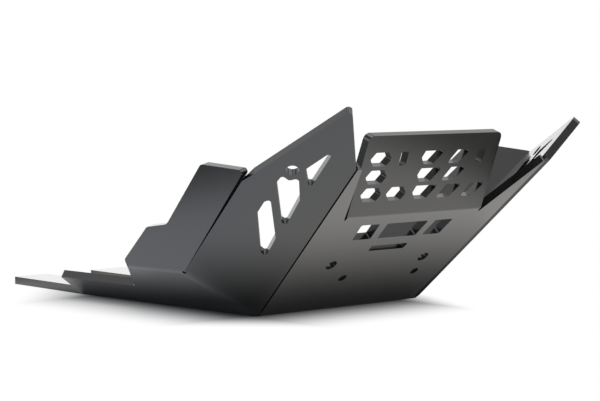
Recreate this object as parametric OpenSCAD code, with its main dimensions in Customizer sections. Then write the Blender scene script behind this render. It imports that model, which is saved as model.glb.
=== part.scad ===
// Motorcycle skid plate: one sheet of black plastic, cut flat and folded up round
// the underside of the engine. The bike points along -Y and the belly lies on Z = 0.

/* [Sheet] */
// Thickness of the plastic sheet
sheet_t = 8; // [6:0.5:10]
// Outside radius of the sharp folds
fold_r = 7; // [3:0.5:9]
// Outside radius of the soft fold between front wing and side strip
soft_fold_r = 26; // [10:1:34]
// Radius on the cut corners of the outline
corner_r = 3; // [1:0.5:4]
// Width of the cut between two neighbouring panels where it starts
seam_w = 1; // [0.6:0.1:1.5]
// Diameter of the relief cuts at the ends of the folds
relief_d = 4; // [3:0.5:6]
// Width of the cut beside the ramp at its upper end
seam_top_w = 1.5; // [1:0.1:3]

/* [Belly] */
// Width of the belly at the front fold
front_w = 215.5; // [195:0.5:230]
// Width of the belly where the side strips end
rear_w = 245.5; // [234:0.5:260]
// Length of the belly from the front fold to the end of the side strips
belly_l = 261; // [240:1:290]
// Length of the rear tongues behind the side strips
tongue_l = 128; // [90:1:150]
// Width of the left rear tongue
tongue_w = 46; // [35:1:60]
// Width of the gap between the rear tongues
notch_w = 59; // [40:1:70]
// Depth of the gap between the rear tongues
notch_l = 96; // [60:1:105]

/* [Ramp] */
// Slope of the front ramp
ramp_a = 43; // [38:1:48]
// Length of the ramp up its slope
ramp_l = 213.7; // [205:0.1:225]
// Width between the front wings at the height of the ramp's tips
ramp_top_w = 260.5; // [246:0.5:272]
// Width of each flank at its tip
flank_tip_w = 2.5; // [2:0.5:6]

/* [Grille] */
// Distance up the ramp to the fold of the grille
grille_up = 145; // [140:1:152]
// Width of the grille panel
grille_w = 180; // [170:1:186]
// Distance of the grille and the windows from the middle, positive to the right
grille_x = -2.75; // [-4:0.25:4]
// Height of the grille panel
grille_h = 80; // [76:1:90]
// Angle by which the grille is folded up from the ramp
grille_a = 26; // [15:1:35]
// Radius on the upper corners of the grille
grille_r = 6; // [2:1:12]
// Height of each row of grille vents
vent_h = 13.6; // [10:0.1:15]
// Distance between rows of grille vents
vent_pitch = 17.6; // [16.5:0.1:19]
// Radius in the corners of the vents and windows
vent_r = 1.6; // [0.5:0.1:2.2]

/* [Front wings] */
// Angle by which the left front wing is folded from the ramp
wing_a = 30.8; // [27:0.1:34]
// Distance from the foot of the ramp to the left wing's tip, along the ramp's edge
wing_tip_u = 278; // [262:1:290]
// Distance of the left wing's tip out from the line of the ramp's edge
wing_tip_v = 34; // [28:1:42]
// Distance along the ramp's edge to the wing's upper rear corner
wing_rear_u = 166; // [158:1:176]
// Distance of the wing's upper rear corner out from the line of the ramp's edge
wing_rear_v = 82; // [78:1:84]
// Radius on the wing's tip
wing_tip_r = 3.5; // [2:0.5:8]
// Distance from the foot of the ramp to the first drain slot
wing_slot_u = 80; // [74:1:84]
// Length of the row of drain slots along a wing
wing_slot_l = 150; // [140:1:154]
// Width of the drain slots across a wing
wing_slot_v = 30; // [24:1:31]

/* [Side strips] */
// Tilt of the side strips up from the belly
strip_a = 31; // [27:1:35]
// Length of the soft fold between side strip and front wing
strip_front_w = 90.5; // [84:0.5:95]
// Width of the narrow rear part of the side strip
strip_rear_w = 42; // [34:1:50]
// Length of the narrow rear part of the left side strip
strip_rear_l = 115; // [100:1:125]

/* [Rear wings] */
// Angle by which a rear wing is folded from its side strip
rear_wing_a = 45; // [38:1:50]
// Length of the fold between side strip and left rear wing
rear_wing_l = 78; // [70:1:84]
// Height of the left rear wing's upper edge above its fold, along the panel
rear_wing_h = 107; // [100:1:112]
// Forward reach of the left rear wing's upper front corner
rear_wing_reach = 103; // [98:1:106]
// Length of a rear wing's upper edge
rear_wing_top_l = 54; // [40:1:60]

/* [Right side] */
// Angle by which the right front wing is folded from the ramp
right_wing_a = 35.5; // [31:0.5:38]
// Distance from the foot of the ramp to the right wing's tip, along the ramp's edge
right_wing_tip_u = 256.5; // [246:0.5:290]
// Distance of the right wing's tip out from the line of the ramp's edge
right_wing_tip_v = 28; // [22:1:42]
// Length of the narrow rear part of the right side strip
right_strip_rear_l = 80; // [70:1:90]
// Length of the fold between side strip and right rear wing
right_rear_wing_l = 110; // [100:1:114]
// Height of the right rear wing's upper edge above its fold, along the panel
right_rear_wing_h = 113; // [104:1:118]
// Forward reach of the right rear wing's upper front corner
right_rear_wing_reach = 108; // [102:1:110]

/* [Fixing holes] */
// Diameter of the fixing hole in each front wing
wing_hole_d = 12; // [8:0.5:13]
// Diameter of the two upper fixing holes in the ramp
ramp_hole_d = 12; // [8:0.5:13]
// Diameter of the two lower fixing holes in the ramp
lower_hole_d = 9; // [6:0.5:11]

/* [Hidden] */
$fn = 64;
over = 1;
arc_steps = 6;
// Keeps each rounding a hair from tangent to its two panels
fold_ease = 0.03;

function unit(v) = v / norm(v);

// Turns a vector about a unit axis
function turned(v, axis, a) =
    v * cos(a) + cross(axis, v) * sin(a) + axis * (axis * v) * (1 - cos(a));

// A frame from its origin, its X direction and its Z direction
function frame_of(o, x, z) =
    let (ex = unit(x), ez = unit(z), ey = cross(ez, ex))
    [[ex.x, ey.x, ez.x, o.x], [ex.y, ey.y, ez.y, o.y], [ex.z, ey.z, ez.z, o.z], [0, 0, 0, 1]];

// A space point in a panel's own plane
function in_plane(p, o, ex, ey) = [(p - o) * ex, (p - o) * ey];
function on_plane(q, o, ex, ey) = o + q[0] * ex + q[1] * ey;

// One corner p of an outline, between a and b, as an arc of radius r
function arc_corner(a, p, b, r) =
    r <= 0 ? [p] :
    let (u = unit(a - p), w = unit(b - p), half = acos(u * w) / 2,
         c = p + unit(u + w) * r / sin(half),
         s = p + u * r / tan(half) - c, e = p + w * r / tan(half) - c, sweep = 180 - 2 * half)
    [for (i = [0:arc_steps])
        c + (s * sin((1 - i / arc_steps) * sweep) + e * sin(i / arc_steps * sweep)) / sin(sweep)];

// An outline whose points are [x, y, corner radius]
function rounded(pts) =
    let (n = len(pts), xy = [for (p = pts) [p[0], p[1]]])
    [for (i = [0:n - 1]) each arc_corner(xy[(i + n - 1) % n], xy[i], xy[(i + 1) % n], pts[i][2])];

// Outward normals and the main corners of the left side. A list below holds a value for
// the left side and one for the right, both in the left side's own frame
belly_n = [0, 0, -1];
ramp_n = [0, -sin(ramp_a), -cos(ramp_a)];
ramp_up = [0, -cos(ramp_a), sin(ramp_a)];
front_left = [-front_w / 2, -belly_l / 2, 0];
strip_end = [-rear_w / 2, belly_l / 2, 0];
ramp_foot = [0, -belly_l / 2, 0];
flank_tip = ramp_foot + [-ramp_top_w / 2, 0, 0] + ramp_l * ramp_up;

// Front wing: X along the ramp's edge, Y outwards
wing_x = unit(flank_tip - front_left);
wing_as = [wing_a, right_wing_a];
wing_n = [for (a = wing_as) turned(ramp_n, wing_x, -a)];
wing_y = [for (n = wing_n) cross(n, wing_x)];
wing_tip = [[wing_tip_u, wing_tip_v], [right_wing_tip_u, right_wing_tip_v]];
ramp_edge_l = norm(flank_tip - front_left);

// Side strip: X along the belly's edge, Y outwards and up
strip_x = unit(strip_end - front_left);
strip_n = turned(belly_n, strip_x, strip_a);
strip_y = cross(strip_x, strip_n);
strip_l = norm(strip_end - front_left);
strip_rear_ls = [strip_rear_l, right_strip_rear_l];

// The soft fold is where the planes of wing and strip meet
soft_fold = [for (n = wing_n) unit(cross(n, strip_n))];
strip_corner = [for (f = soft_fold) front_left + strip_front_w * f * sign(f.z)];
strip_corner_2d = [for (c = strip_corner) in_plane(c, front_left, strip_x, strip_y)];
wing_corner = [for (i = [0, 1]) in_plane(strip_corner[i], front_left, wing_x, wing_y[i])];

// Rear wing: X along its fold towards the rear, Y up the panel
fold_rise = 0.018;
rear_wing_ls = [rear_wing_l, right_rear_wing_l];
rear_wing_hs = [rear_wing_h, right_rear_wing_h];
rear_wing_reaches = [rear_wing_reach, right_rear_wing_reach];
rear_wing_end_2d = [for (i = [0, 1]) strip_corner_2d[i] + rear_wing_ls[i] * [1, fold_rise]];
rear_wing_end = [for (q = rear_wing_end_2d) on_plane(q, front_left, strip_x, strip_y)];
rear_wing_x = [for (i = [0, 1]) unit(rear_wing_end[i] - strip_corner[i])];
rear_wing_n = [for (x = rear_wing_x) turned(strip_n, x, rear_wing_a)];

// Grille: X across, Y up the panel
grille_n = turned(ramp_n, [1, 0, 0], -grille_a);
grille_foot = ramp_foot + grille_up * ramp_up + [grille_x, 0, 0];

function mirrored(v) = [-v.x, v.y, v.z];

// A prism on the outer face of a panel, grown inwards by the sheet
module panel(o, x, n, inwards_z, pts) {
    multmatrix(frame_of(o, x, inwards_z ? -n : n))
        translate([0, 0, inwards_z ? 0 : -sheet_t])
            linear_extrude(sheet_t)
                polygon(rounded(pts));
}

// A cutter that runs right through a panel
module through(o, x, n) {
    multmatrix(frame_of(o, x, n))
        translate([0, 0, -sheet_t - over])
            linear_extrude(sheet_t + 2 * over)
                children();
}

// Takes the sharp outer edge off the fold from p to q
module fold_rounder(p, q, n_a, n_b, r) {
    half = acos(n_a * n_b) / 2;
    bisector = unit(n_a + n_b);
    touch_x = r * cos(half) - r / cos(half);
    touch_y = r * sin(half);
    multmatrix(frame_of(p, bisector, q - p))
        linear_extrude(norm(q - p))
            difference() {
                polygon([[touch_x, touch_y], [over, touch_y + over],
                         [over, -touch_y - over], [touch_x, -touch_y]]);
                translate([fold_ease - r / cos(half), 0])
                    circle(r, $fn = 180);
            }
}

// How far the ramp's edges stand in from the wings' outer corners, left and right, so that
// the ramp clears the inner corners of the wings
ramp_in = [for (a = wing_as) sheet_t * sin(a) + seam_w];
ramp_top_in = [for (a = wing_as) sheet_t * sin(a) + seam_top_w];

module ramp() {
    half = front_w / 2;
    top = ramp_top_w / 2;
    left = grille_x - grille_w / 2;
    right = grille_x + grille_w / 2;
    tip_drop = 1;
    difference() {
        panel(ramp_foot, [1, 0, 0], ramp_n, false, [
            [ramp_in[0] - half, 0, 0], [half - ramp_in[1], 0, 0],
            [top - ramp_top_in[1], ramp_l, 0.8],
            [top - ramp_top_in[1] - flank_tip_w, ramp_l - tip_drop, 0.8],
            [right + seam_w, grille_up - relief_d, 0],
            [right - seam_w, grille_up - relief_d, 0], [right - seam_w, grille_up, 0],
            [left + seam_w, grille_up, 0], [left + seam_w, grille_up - relief_d, 0],
            [left - seam_w, grille_up - relief_d, 0],
            [ramp_top_in[0] + flank_tip_w - top, ramp_l - tip_drop, 0.8],
            [ramp_top_in[0] - top, ramp_l, 0.8]]);
        ramp_windows();
        ramp_bores();
    }
}

// Windows below the grille fold: outer ones lean away from the middle one
window_low = 109.5;
window_high = 131.3;
slot_low = 90.2;
slot_high = 98;

module ramp_windows() {
    windows = [
        [[-58.5, window_low], [-34.8, window_low], [-37.6, window_high], [-61.4, window_high]],
        [[-25.6, window_low], [25.6, window_low], [27.4, window_high], [-27.4, window_high]],
        [[34.8, window_low], [58.5, window_low], [61.4, window_high], [37.6, window_high]],
        [[-23.6, slot_low], [23.6, slot_low], [24.4, slot_high], [-24.4, slot_high]]];
    for (w = windows)
        through(ramp_foot + [grille_x, 0, 0], [1, 0, 0], ramp_n)
            polygon(rounded([for (p = w) [p[0], p[1], vent_r]]));
}

ramp_holes = [[-62, 72.5, ramp_hole_d], [62, 72.5, ramp_hole_d],
              [-31.5, 49.6, lower_hole_d], [67, 49.6, lower_hole_d]];

module ramp_bores() {
    for (h = ramp_holes)
        multmatrix(frame_of(ramp_foot, [1, 0, 0], ramp_n))
            translate([h[0], h[1], -sheet_t - over])
                cylinder(d = h[2], h = sheet_t + 2 * over);
}

// Grille vents, each as its own outline round a centre
module vent(x, y, pts) {
    through(grille_foot, [1, 0, 0], grille_n)
        translate([x, y])
            polygon(rounded([for (p = pts) [p[0], p[1] * vent_h / 2, vent_r]]));
}

module hex_vent(x, y, w) {
    s = w / 2;
    vent(x, y, [[-s, 0], [-s + 5.5, -1], [s - 5.5, -1], [s, 0], [s - 5.5, 1], [-s + 5.5, 1]]);
}

module slot_vent(x, y, w) {
    s = w / 2;
    vent(x, y, [[-s, -1], [s, -1], [s, 1], [-s, 1]]);
}

// A vent with a pointed left end and a slanted right end
module half_hex_vent(x, y, w) {
    s = w / 2;
    vent(x, y, [[-s, 0], [-s + 5, -1], [s - 12, -1], [s, 1], [-s + 3, 1]]);
}

module slanted_vent(x, y, w) {
    s = w / 2;
    vent(x, y, [[-s, -1], [s - 14, -1], [s, 1], [-s + 10, 1]]);
}

// How much each side of the grille leans in at its upper edge
grille_taper = 1.2;

module grille() {
    half = grille_w / 2;
    top_half = half - grille_taper;
    row_low = grille_h - 23.5 - 2 * vent_pitch;
    row_mid = row_low + vent_pitch;
    row_high = row_mid + vent_pitch;
    difference() {
        panel(grille_foot, [1, 0, 0], grille_n, false, [
            [-half, 0, 0], [half, 0, 0],
            [top_half, grille_h, grille_r], [-top_half, grille_h, grille_r]]);
        hex_vent(-66.7, row_high, 27);
        slot_vent(-37.5, row_high, 9.4);
        half_hex_vent(1, row_high, 29);
        slanted_vent(37, row_high, 28);
        slot_vent(66.5, row_high, 9.4);
        hex_vent(-66.8, row_mid, 27);
        half_hex_vent(2.5, row_mid, 31);
        slanted_vent(36.3, row_mid, 31);
        hex_vent(-67.4, row_low, 26.5);
        hex_vent(-34.8, row_low, 26);
        half_hex_vent(3, row_low, 32);
        slanted_vent(36.2, row_low, 31.4);
        slanted_vent(69.4, row_low, 30);
    }
}

module belly() {
    rear_y = belly_l / 2 + tongue_l;
    left_x = -rear_w / 2;
    right_tongue_x = left_x + tongue_w + notch_w;
    taper = 3;
    panel([0, 0, 0], [1, 0, 0], belly_n, true, [
        [-front_w / 2, -belly_l / 2, 0],
        [front_w / 2, -belly_l / 2, 0],
        [rear_w / 2, belly_l / 2, 0], [rear_w / 2 - seam_w, belly_l / 2, 0],
        [rear_w / 2 - taper, rear_y, corner_r],
        [right_tongue_x, rear_y, corner_r],
        [right_tongue_x, rear_y - notch_l, corner_r],
        [right_tongue_x - notch_w, rear_y - notch_l, corner_r],
        [right_tongue_x - notch_w, rear_y, corner_r],
        [taper - rear_w / 2, rear_y, corner_r],
        [seam_w - rear_w / 2, belly_l / 2, 0], [-rear_w / 2, belly_l / 2, 0]]);
}

module side_strip(i) {
    end_in = 11.5;
    corner = strip_corner_2d[i];
    wing_end = rear_wing_end_2d[i];
    panel(front_left, strip_x, strip_n, true, [
        [0, 0, 0], [strip_l - 2 * seam_w, 0, 0],
        [strip_l - end_in, strip_rear_w, corner_r / 2],
        [strip_l - strip_rear_ls[i] - end_in, strip_rear_w, 2 * corner_r],
        [wing_end[0], wing_end[1], 0], [corner[0], corner[1], 0]]);
}

// The rear edge of each rear wing from the fold upwards, in from the fold's rear end
rear_edge = [[[2.5, 6.8, 3.5], [-38.4, 42.2, 7], [-66.8, 46.6, 12]],
             [[1, 8.3, 4], [-12, 27, 8], [-91, 66, 20]]];
// How much lower the front end of a rear wing's upper edge is than its rear end
rear_wing_drop = 3.5;

module rear_wing(i) {
    l = rear_wing_ls[i];
    h = rear_wing_hs[i];
    reach = rear_wing_reaches[i];
    panel(strip_corner[i], rear_wing_x[i], rear_wing_n[i], true, concat(
        [[0, 0, 0], [l, 0, 0]],
        [for (q = rear_edge[i]) [l + q[0], q[1], q[2]]],
        [[rear_wing_top_l - reach, h, 2 * corner_r], [-reach, h - rear_wing_drop, corner_r]]));
}

// What the rear wing and its seam take away from the front wing behind it
module rear_wing_clearance(i) {
    ahead = seam_w * 1.4;
    far = 1.2;
    start = relief_d / 2;
    top = (rear_wing_hs[i] - rear_wing_drop) * far;
    multmatrix(frame_of(strip_corner[i], rear_wing_x[i], -rear_wing_n[i]))
        translate([0, 0, -sheet_t])
            linear_extrude(4 * sheet_t)
                polygon([[-ahead, start], [rear_wing_ls[i], start],
                         [rear_wing_ls[i], top], [-rear_wing_reaches[i] * far - ahead, top]]);
}

wing_hole = [190.6, 50];
slot_low_v = 26.7;

// Drain slots as parts of their row's length and width, with corner radii
wing_slots = [
    [[0, 0, 2], [0.17, 0.05, 6], [0.463, 0.87, 2.5], [0.43, 1, 2.5], [0.324, 1, 6], [0.02, 0.22, 3]],
    [[0.303, 0, 2], [0.53, 0.07, 6], [0.693, 0.47, 3], [0.653, 0.7, 2.5], [0.673, 0.97, 2.5],
     [0.607, 1, 5], [0.313, 0.18, 3]],
    [[0.653, 0, 2], [0.997, 0, 2], [0.777, 0.45, 4], [0.673, 0.13, 2]]];

module front_wing(i) {
    rear_slope = 3;
    difference() {
        panel(front_left, wing_x, wing_n[i], false, [
            [0, 0, 0], [ramp_edge_l, 0, 0],
            [wing_tip[i][0], wing_tip[i][1], wing_tip_r],
            [wing_rear_u + 2 * rear_slope, wing_rear_v - rear_slope, corner_r],
            [wing_rear_u - 2 * rear_slope, wing_rear_v + rear_slope, corner_r],
            [wing_corner[i][0], wing_corner[i][1], 0]]);
        through(front_left, wing_x, wing_n[i])
            for (slot = wing_slots)
                polygon(rounded([for (q = slot)
                    [wing_slot_u + q[0] * wing_slot_l, slot_low_v + q[1] * wing_slot_v, q[2]]]));
        multmatrix(frame_of(front_left, wing_x, wing_n[i]))
            translate([wing_hole[0], wing_hole[1], -sheet_t - over])
                cylinder(d = wing_hole_d, h = sheet_t + 2 * over);
        rear_wing_clearance(i);
    }
}

module side_panels(i) {
    difference() {
        union() {
            side_strip(i);
            rear_wing(i);
            front_wing(i);
        }
        corner_relief(i);
    }
}

// The round relief where wing, strip and rear wing meet
module corner_relief(i) {
    multmatrix(frame_of(strip_corner[i], rear_wing_x[i], unit(wing_n[i] + rear_wing_n[i])))
        cylinder(d = relief_d, h = 4 * sheet_t, center = true);
}

module sharp_sheet() {
    belly();
    ramp();
    grille();
    side_panels(0);
    mirror([1, 0, 0]) side_panels(1);
}

// Rounds the outside of one fold of the sheet that is its first child
module with_fold(p, q, n_a, n_b, r) {
    difference() {
        children();
        fold_rounder(p, q, n_a, n_b, r);
    }
}

module skid_plate() {
    grille_left = grille_foot - [grille_w / 2, 0, 0];
    color("#26282b")
        with_fold(mirrored(strip_corner[1]), mirrored(rear_wing_end[1]),
                  mirrored(strip_n), mirrored(rear_wing_n[1]), fold_r)
        with_fold(strip_corner[0], rear_wing_end[0], strip_n, rear_wing_n[0], fold_r)
        with_fold(grille_left, grille_left + [grille_w, 0, 0], ramp_n, grille_n, fold_r)
        with_fold(mirrored(front_left), mirrored(strip_corner[1]),
                  mirrored(wing_n[1]), mirrored(strip_n), soft_fold_r)
        with_fold(front_left, strip_corner[0], wing_n[0], strip_n, soft_fold_r)
        with_fold(mirrored(front_left), mirrored(strip_end),
                  mirrored(belly_n), mirrored(strip_n), fold_r)
        with_fold(front_left, strip_end, belly_n, strip_n, fold_r)
        with_fold(front_left, mirrored(front_left), belly_n, ramp_n, fold_r)
        sharp_sheet();
}

skid_plate();
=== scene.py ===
import math
import bmesh
import bpy
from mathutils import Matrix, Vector
from mathutils.geometry import intersect_point_line


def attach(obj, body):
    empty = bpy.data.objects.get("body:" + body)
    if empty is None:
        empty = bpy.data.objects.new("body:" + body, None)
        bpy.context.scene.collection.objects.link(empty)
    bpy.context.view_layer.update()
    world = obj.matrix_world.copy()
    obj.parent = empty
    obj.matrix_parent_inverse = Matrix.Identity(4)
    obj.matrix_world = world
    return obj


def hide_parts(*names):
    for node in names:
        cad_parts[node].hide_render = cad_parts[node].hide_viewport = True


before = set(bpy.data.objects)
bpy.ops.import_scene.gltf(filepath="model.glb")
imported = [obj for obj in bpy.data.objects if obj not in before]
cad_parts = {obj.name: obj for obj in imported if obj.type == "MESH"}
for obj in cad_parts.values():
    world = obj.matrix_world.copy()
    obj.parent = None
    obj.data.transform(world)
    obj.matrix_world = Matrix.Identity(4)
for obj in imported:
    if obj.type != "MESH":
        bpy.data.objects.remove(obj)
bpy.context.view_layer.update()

print("frame loaded")


# A thin wrapper so shader maths reads as ordinary maths
class Sock:
    def __init__(self, shader, link):
        self.shader, self.link = shader, link

    def calc(self, operation, first, second):
        return self.shader.node("ShaderNodeMath", {"operation": operation}, [first, second])

    def __add__(self, other):
        return self.calc("ADD", self, other)

    def __radd__(self, other):
        return self.calc("ADD", other, self)

    def __sub__(self, other):
        return self.calc("SUBTRACT", self, other)

    def __rsub__(self, other):
        return self.calc("SUBTRACT", other, self)

    def __mul__(self, other):
        return self.calc("MULTIPLY", self, other)

    def __rmul__(self, other):
        return self.calc("MULTIPLY", other, self)

    def __gt__(self, other):
        return self.calc("GREATER_THAN", self, other)


class Shader:
    def __init__(self, name, store=bpy.data.materials):
        self.owner = store.new(name)
        self.owner.use_nodes = True
        self.nodes = self.owner.node_tree.nodes
        self.links = self.owner.node_tree.links
        self.nodes.clear()

    def node(self, kind, settings=None, values=(), output=0):
        made = self.nodes.new(kind)
        for key, value in (settings or {}).items():
            setattr(made, key, value)
        pairs = values.items() if isinstance(values, dict) else enumerate(values)
        for key, value in pairs:
            if isinstance(value, Sock):
                self.links.new(value.link, made.inputs[key])
            else:
                made.inputs[key].default_value = value
        return Sock(self, made.outputs[output])

    def finish(self, surface, output="ShaderNodeOutputMaterial"):
        out = self.nodes.new(output)
        self.links.new(surface.link, out.inputs["Surface"])
        return self.owner


plateLook = {
    "colour": (0.0065, 0.0066, 0.0072, 1),
    "paleColour": (0.0095, 0.0096, 0.0104, 1),
    "specular": 0.6,
    "roughness": 0.24,
    "roughnessSpread": 0.05,    # how far the mottle takes it either way
    "skin": 0.95,    # the smoother skin over the sheet
    "skinSpread": 0.05,
    "skinRoughness": 0.12,
    "mottleScale": 9.0,
    "mottleDetail": 3.0,
    "mottleMiddle": 0.5,
    "grainScale": 1500.0,
    "grainDetail": 2.0,
    "grainDepth": 0.00006,
    "grainStrength": 0.35,
}


def plateMaterial():
    look = plateLook
    sh = Shader("satinBlackSheet")
    coord = sh.node("ShaderNodeTexCoord", output="Object")
    mottle = sh.node("ShaderNodeTexNoise", {}, {
        "Vector": coord, "Scale": look["mottleScale"], "Detail": look["mottleDetail"]})
    grain = sh.node("ShaderNodeTexNoise", {}, {
        "Vector": coord, "Scale": look["grainScale"], "Detail": look["grainDetail"]})
    colour = sh.node("ShaderNodeMix", {"data_type": "RGBA"}, {
        "Factor": mottle, "A": look["colour"], "B": look["paleColour"]}, output=2)
    eitherWay = (mottle - look["mottleMiddle"]) * 2
    bump = sh.node("ShaderNodeBump", {}, {
        "Strength": look["grainStrength"], "Distance": look["grainDepth"], "Height": grain})
    surface = sh.node("ShaderNodeBsdfPrincipled", {}, {
        "Base Color": colour,
        "Roughness": look["roughness"] + eitherWay * look["roughnessSpread"],
        "Specular IOR Level": look["specular"],
        "Coat Weight": look["skin"] + eitherWay * look["skinSpread"],
        "Coat Roughness": look["skinRoughness"],
        "Normal": bump})
    return sh.finish(surface)


sheetLook = {
    "weld": 0.000001,    # points closer than this become one
    "flat": math.radians(1),    # faces that turn less than this become one
    "brokenFrom": math.radians(24),    # edges that turn more than this are broken
    "edgeRound": 0.0007,
    "edgeSteps": 2,
    "creaseFrom": math.radians(22),    # what turns more than this is shaded as a crease
    "largeFaceWeight": 100,
}

rampEdge = {
    "foot": (-0.1027, -0.1305, 0.0005),    # the edge's lower end, at the belly
    "tip": (-0.1245, -0.2858, 0.1449),    # and its upper end
    "reach": 0.0015,    # points this close to the line between them are on the edge
    "slant": -0.003,    # how far they move, towards the wing
}


# The ramp's left cut edge is planed to a slant, so that only a thin line shows beside the wing
def slantRampEdge(bm):
    foot, tip = Vector(rampEdge["foot"]), Vector(rampEdge["tip"])
    edge = []
    for vert in bm.verts:
        share = intersect_point_line(vert.co, foot, tip)[1]
        nearest = foot.lerp(tip, min(max(share, 0), 1))
        if (vert.co - nearest).length < rampEdge["reach"]:
            edge.append(vert)
    bmesh.ops.translate(bm, verts=edge, vec=(rampEdge["slant"], 0, 0))
    print("ramp edge planed at", len(edge), "points")


# The folded sheet with its cut edges slightly broken, as the cutter leaves them
def buildSheet():
    look = sheetLook
    bm = bmesh.new()
    bm.from_mesh(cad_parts["skid_plate"].data)
    bmesh.ops.remove_doubles(bm, verts=bm.verts, dist=look["weld"])
    bmesh.ops.dissolve_limit(bm, angle_limit=look["flat"], verts=bm.verts, edges=bm.edges)
    slantRampEdge(bm)
    cut = [e for e in bm.edges
           if len(e.link_faces) == 2 and e.calc_face_angle() > look["brokenFrom"]]
    bmesh.ops.bevel(bm, geom=cut, offset=look["edgeRound"], offset_type="OFFSET", affect="EDGES",
                    segments=look["edgeSteps"], profile=0.5, material=-1, clamp_overlap=True)
    mesh = bpy.data.meshes.new("foldedSheet")
    bm.to_mesh(mesh)
    bm.free()
    mesh.materials.append(plateMaterial())
    mesh.shade_smooth()
    mesh.set_sharp_from_angle(angle=look["creaseFrom"])
    piece = bpy.data.objects.new("foldedSheet", mesh)
    bpy.context.scene.collection.objects.link(piece)
    evenGloss = piece.modifiers.new("evenGloss", "WEIGHTED_NORMAL")    # keeps large faces flat in gloss
    evenGloss.mode = "FACE_AREA"
    evenGloss.weight = look["largeFaceWeight"]
    evenGloss.keep_sharp = True
    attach(piece, "root")
    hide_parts("skid_plate")
    print("sheet built")


view = {
    "place": (-1.29832, -1.48714, 0.23271),
    "yaw": -42.543,
    "pitch": -3.892,
    "lens": 115.19,
    "sensor": 36.0,
    "farthest": 50,
}


def buildCamera():
    yaw, pitch = math.radians(view["yaw"]), math.radians(view["pitch"])
    level = math.cos(pitch)
    ahead = Vector((-math.sin(yaw) * level, math.cos(yaw) * level, math.sin(pitch)))
    data = bpy.data.cameras.new("camera")
    data.sensor_width = view["sensor"]
    data.lens = view["lens"]
    data.clip_end = view["farthest"]
    camera = bpy.data.objects.new("camera", data)
    camera.location = view["place"]
    camera.rotation_euler = ahead.to_track_quat("-Z", "Y").to_euler()
    bpy.context.scene.collection.objects.link(camera)
    bpy.context.scene.camera = camera
    print("camera set")


floorLook = {
    "size": 12.0,
    "drop": 0.0003,    # how far it lies below the plate
    # grey, which the camera and gloss see only in the patches by the plate, where it paints the lamps'
    # real shadow darker: partly painted shade
    "colour": (0.4, 0.4, 0.405, 1),
    "white": (1, 1, 1, 1),
    "seenShadow": {    # a patch under the plate, and how far the shadow reaches beyond it
        "low": (-0.11, -0.12, -1.0), "fadesLow": (0.12, 0.125),    # on the left and front
        "high": (0.085, 0.11, 1.0), "fadesHigh": (0.06, 0.125),    # on the right and back
    },
    "glossShadow": {    # the patch as the plate's gloss shows it, reaching further than the camera's
        "low": (-0.12, -0.132, -1.0), "fadesLow": (0.11, 0.105),
        "high": (0.2, 0.13, 1.0), "fadesHigh": (0.1, 0.125),
    },
    "poolMiddle": (-0.03, -0.08, 0.0),    # the middle of a painted pool of light on the floor, white in gloss
    "poolFades": (0.33, 0.48),    # where its white starts and stops to fade, out from the middle
    # how bright the painted pool's floor is in gloss beyond it
    "beyondPool": 0.22,
    "paintedCoolGloss": (0.9, 0.94, 1, 1),    # painted cool tint of reflections, in gloss, on the left of both tintTurns
    "paintedWarmGloss": (1, 0.985, 0.945, 1),    # and painted warm tint on the right of both
    "tintTurns": (-0.2, -0.1),
}


# True for the rays that should meet plain white: those from the camera, mirrors and glass
def seenRay(sh):
    camera, glossy, glass = (
        sh.node("ShaderNodeLightPath", output=kind)
        for kind in ("Is Camera Ray", "Is Glossy Ray", "Is Transmission Ray"))
    return sh.node("ShaderNodeMath", {"operation": "ADD", "use_clamp": True}, [camera + glossy, glass])


# Full strength to the camera, and in gloss as strong as that part of the room is
def whiteStrength(sh, inGloss):
    camera = sh.node("ShaderNodeLightPath", output="Is Camera Ray")
    return sh.node("ShaderNodeMath", {"operation": "MAXIMUM"}, [camera, inGloss])


# How far the first point is beyond the second, across and along, each as a share of its fade
def shareOfFade(sh, first, second, fades):
    across, along = fades
    apart = sh.node("ShaderNodeVectorMath", {"operation": "SUBTRACT"}, [first, second])
    beyond = sh.node("ShaderNodeVectorMath", {"operation": "MAXIMUM"}, [apart, (0, 0, 0)])
    return sh.node("ShaderNodeVectorMath", {"operation": "DOT_PRODUCT"},
                   [beyond, (1 / across, 1 / along, 0)], output=1)


def outsideShadow(sh, coord, patch):
    gone = (shareOfFade(sh, patch["low"], coord, patch["fadesLow"])
            + shareOfFade(sh, coord, patch["high"], patch["fadesHigh"]))
    return sh.node("ShaderNodeMapRange", {"interpolation_type": "SMOOTHSTEP"}, {"Value": gone})


# White to the camera, and in gloss a painted pool of light: cool on the left, warm on the right and
# dimmer far away
def floorWhiteAndPaintedPool(sh, coord, camera):
    look = floorLook
    near, far = look["poolFades"]
    reach = sh.node("ShaderNodeVectorMath", {"operation": "DISTANCE"},
                    [coord, look["poolMiddle"]], output=1)
    pool = sh.node("ShaderNodeMapRange", {"interpolation_type": "SMOOTHSTEP"}, {
        "Value": reach, "From Min": near, "From Max": far,
        "To Min": 1.0, "To Max": look["beyondPool"]})
    coolEnd, warmStart = look["tintTurns"]
    across = sh.node("ShaderNodeSeparateXYZ", {}, [coord])
    warmth = sh.node("ShaderNodeMapRange", {}, {
        "Value": across, "From Min": coolEnd, "From Max": warmStart})
    tint = sh.node("ShaderNodeMix", {"data_type": "RGBA"}, {
        "Factor": warmth, "A": look["paintedCoolGloss"], "B": look["paintedWarmGloss"]}, output=2)
    colour = sh.node("ShaderNodeMix", {"data_type": "RGBA"}, {
        "Factor": camera, "A": tint, "B": look["white"]}, output=2)
    return sh.node("ShaderNodeEmission", {}, {
        "Color": colour, "Strength": whiteStrength(sh, pool)})


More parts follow.
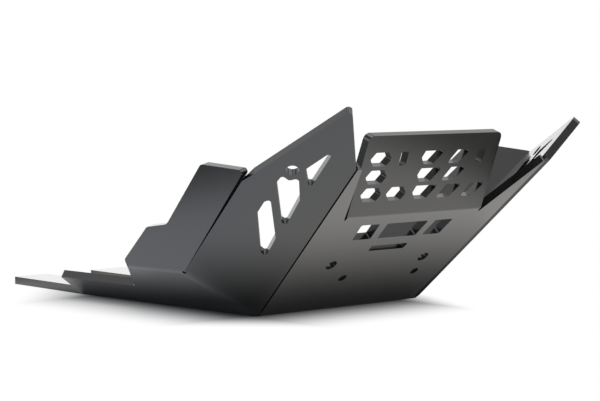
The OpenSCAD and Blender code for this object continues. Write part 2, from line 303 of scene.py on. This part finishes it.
# The lamps' shadow shows close to the plate, plain white further out, and nothing from below
def floorMaterial():
    sh = Shader("paleFloor")
    coord = sh.node("ShaderNodeTexCoord", output="Object")
    camera = sh.node("ShaderNodeLightPath", output="Is Camera Ray")
    inView = outsideShadow(sh, coord, floorLook["seenShadow"])
    inGloss = outsideShadow(sh, coord, floorLook["glossShadow"])
    outer = inGloss + camera * (inView - inGloss)
    # the grey lamp-lit floor: real lamp shadow, deepened by the grey as painted shade
    lit = sh.node("ShaderNodeBsdfDiffuse", {}, {"Color": floorLook["colour"]})
    white = floorWhiteAndPaintedPool(sh, coord, camera)
    above = sh.node("ShaderNodeMixShader", {}, [seenRay(sh) * outer, lit, white])
    below = sh.node("ShaderNodeBsdfTransparent")
    isBelow = sh.node("ShaderNodeNewGeometry", output="Backfacing")
    return sh.finish(sh.node("ShaderNodeMixShader", {}, [isBelow, above, below]))


def buildFloor():
    bm = bmesh.new()
    bmesh.ops.create_grid(bm, x_segments=1, y_segments=1, size=floorLook["size"])
    bmesh.ops.translate(bm, verts=bm.verts, vec=(0, 0, -floorLook["drop"]))
    mesh = bpy.data.meshes.new("floor")
    bm.to_mesh(mesh)
    bm.free()
    mesh.materials.append(floorMaterial())
    floor = bpy.data.objects.new("floor", mesh)
    bpy.context.scene.collection.objects.link(floor)
    print("floor laid")


lamps = {
    "keySoft": {
        "place": (0.2, -1.2, 1.8), "target": (0, 0, 0),
        "size": 2.6, "power": 24, "colour": (1, 0.99, 0.97),
    },
    "topSoft": {
        "place": (0.1, 0.7, 2.1), "target": (0, 0, 0),
        "size": 1.3, "power": 7, "colour": (1, 1, 1),
    },
    "leftSoft": {
        "place": (-2.2, 0.9, 1.1), "target": (-0.1, 0, 0),
        "size": 1.3, "power": 7, "colour": (0.62, 0.78, 1),
    },
    "backSoft": {
        "place": (1.2, 2.0, 0.7), "target": (0, 0, 0),
        "size": 1.3, "power": 2.2, "colour": (1, 1, 1),
    },
}


def buildLamps():
    for name, lamp in lamps.items():
        data = bpy.data.lights.new(name, "AREA")
        data.size = lamp["size"]
        data.energy = lamp["power"]
        data.color = lamp["colour"]
        light = bpy.data.objects.new(name, data)
        light.location = lamp["place"]
        aim = Vector(lamp["target"]) - Vector(lamp["place"])
        light.rotation_euler = aim.to_track_quat("-Z", "Y").to_euler()
        bpy.context.scene.collection.objects.link(light)
    print("lamps set")


studio = {
    "colour": (1, 1, 1, 1),
    "light": 0.25,    # the light that the room gives the plate
    "left": 0.06,    # how bright each side of the room is in gloss, where 1 is white: painted reflections, as the room's light is even
    "right": 0.72,
    "front": 0.5,
    "back": 0.88,
    "top": 0.1,
}


# Each side of the room has its own brightness in gloss, and they blend in between: painted reflections,
# which light nothing
def roomBrightness(sh):
    facing = sh.node("ShaderNodeTexCoord", output="Generated")
    squared = sh.node("ShaderNodeVectorMath", {"operation": "MULTIPLY"}, [facing, facing])
    across, along, up = (
        sh.node("ShaderNodeSeparateXYZ", {}, [squared], output=axis) for axis in "XYZ")
    toRight, toBack = (
        sh.node("ShaderNodeSeparateXYZ", {}, [facing], output=axis) > 0 for axis in "XY")
    return (across * (studio["left"] + toRight * (studio["right"] - studio["left"]))
            + along * (studio["front"] + toBack * (studio["back"] - studio["front"]))
            + up * studio["top"])


def buildRoom():
    sh = Shader("studio", bpy.data.worlds)
    soft = sh.node("ShaderNodeBackground", {}, {
        "Color": studio["colour"], "Strength": studio["light"]})
    white = sh.node("ShaderNodeBackground", {}, {
        "Color": studio["colour"], "Strength": whiteStrength(sh, roomBrightness(sh))})
    sky = sh.node("ShaderNodeMixShader", {}, [seenRay(sh), soft, white])
    bpy.context.scene.world = sh.finish(sky, "ShaderNodeOutputWorld")
    print("room set")


buildCamera()
buildSheet()
buildFloor()
buildLamps()
buildRoom()
bpy.context.scene.view_settings.view_transform = "Standard"
